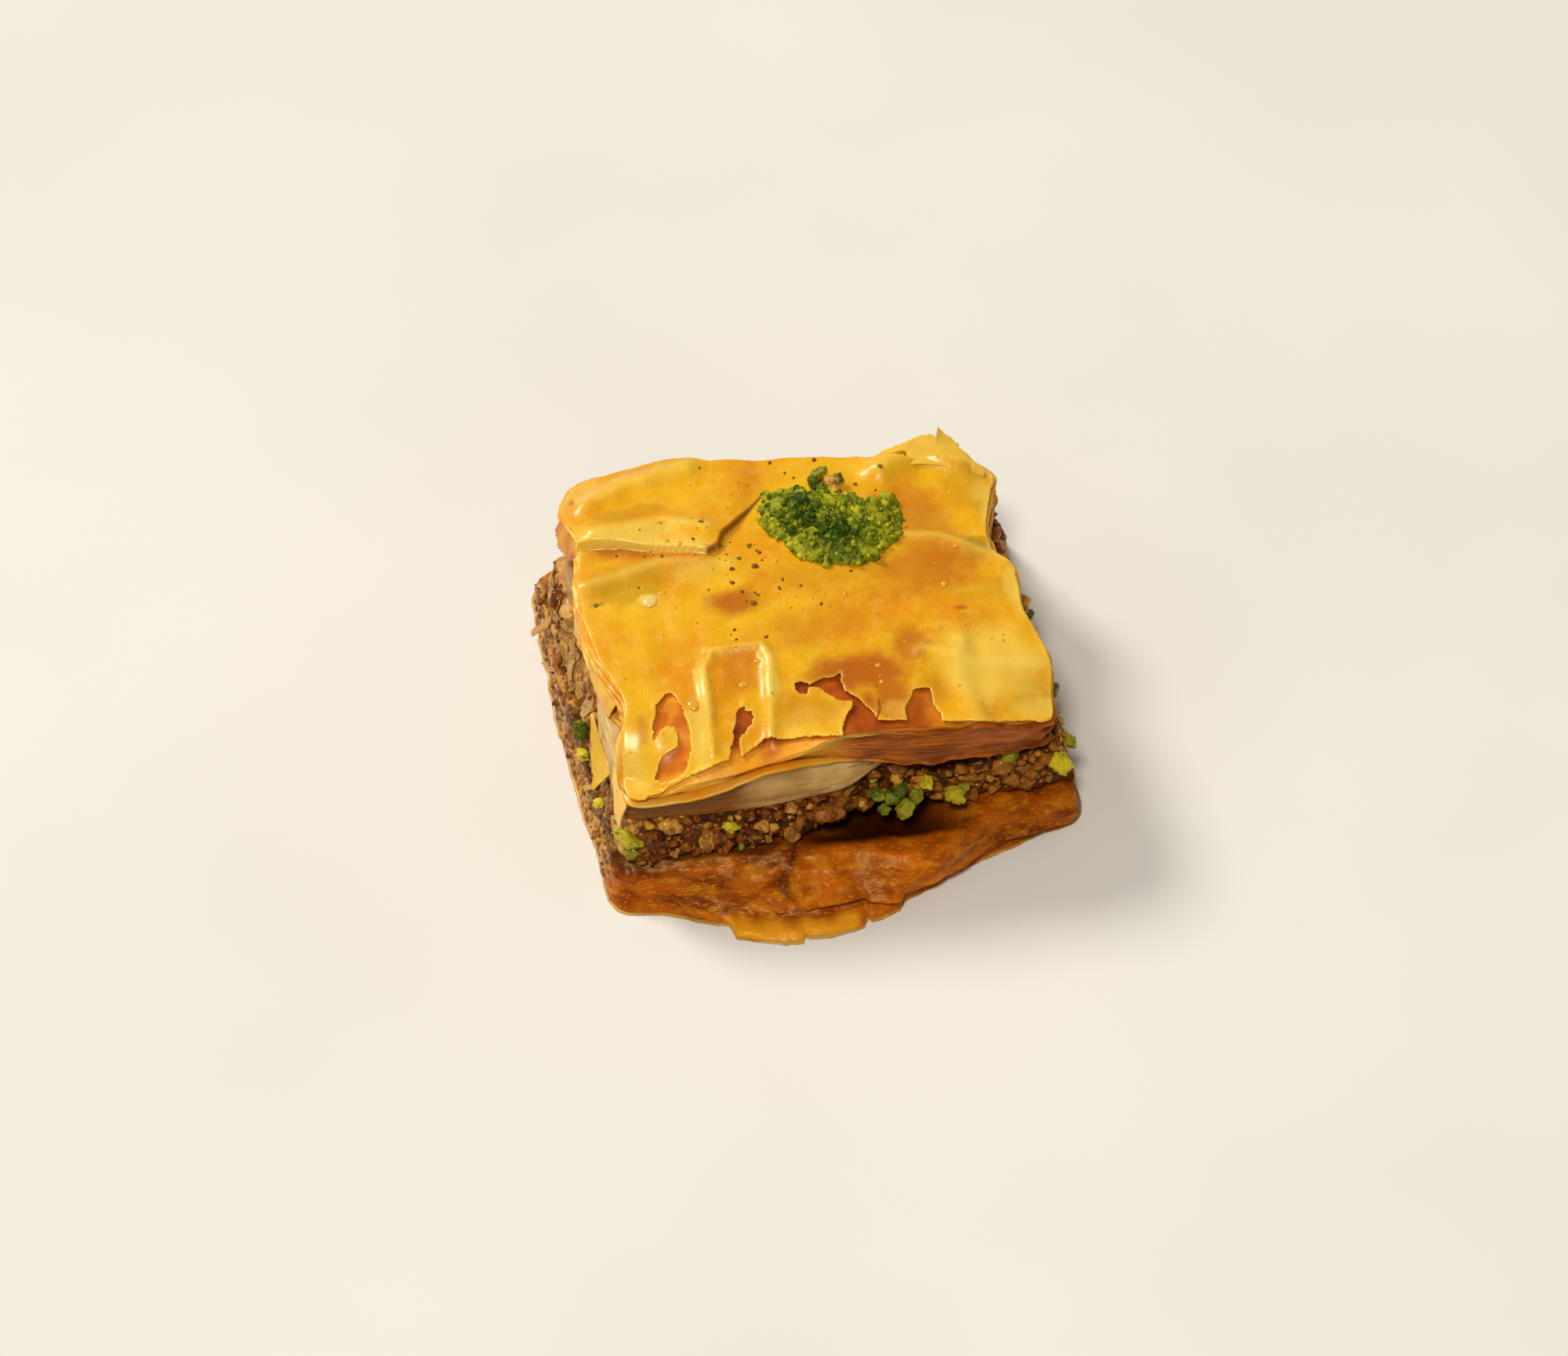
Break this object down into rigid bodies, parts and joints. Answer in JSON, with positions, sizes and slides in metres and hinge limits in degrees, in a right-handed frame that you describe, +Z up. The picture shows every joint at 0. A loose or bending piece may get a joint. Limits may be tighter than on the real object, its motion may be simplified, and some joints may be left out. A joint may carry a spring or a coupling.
{
  "type": "baklava piece",
  "caption": "Square piece of baklava: syrup-soaked filo base, chopped nut filling, golden filo crust, ground pistachio on top.",
  "frame": {"origin": "on the surface that the piece rests on, below the middle of its bounding box", "axes": "+X along the front cut edge, to the right; +Y from the front towards the back; +Z up"},
  "size_m": [0.0623, 0.0615, 0.0249],
  "materials": {
    "soaked_filo": "wet amber-brown filo leaves, soaked in syrup",
    "chopped_nuts": "chopped walnut and pistachio, sticky with syrup",
    "pale_filo": "soft pale filo, slightly translucent",
    "golden_filo": "baked golden filo under a syrup glaze",
    "ground_pistachio": "finely ground green pistachio, moist"
  },
  "bodies": {
    "root": {"base_filo": "soaked_filo", "nut_filling": "chopped_nuts", "inner_filo": "pale_filo", "crust_filo": "golden_filo", "ground_pistachio": "ground_pistachio"}
  },
  "joints": []
}
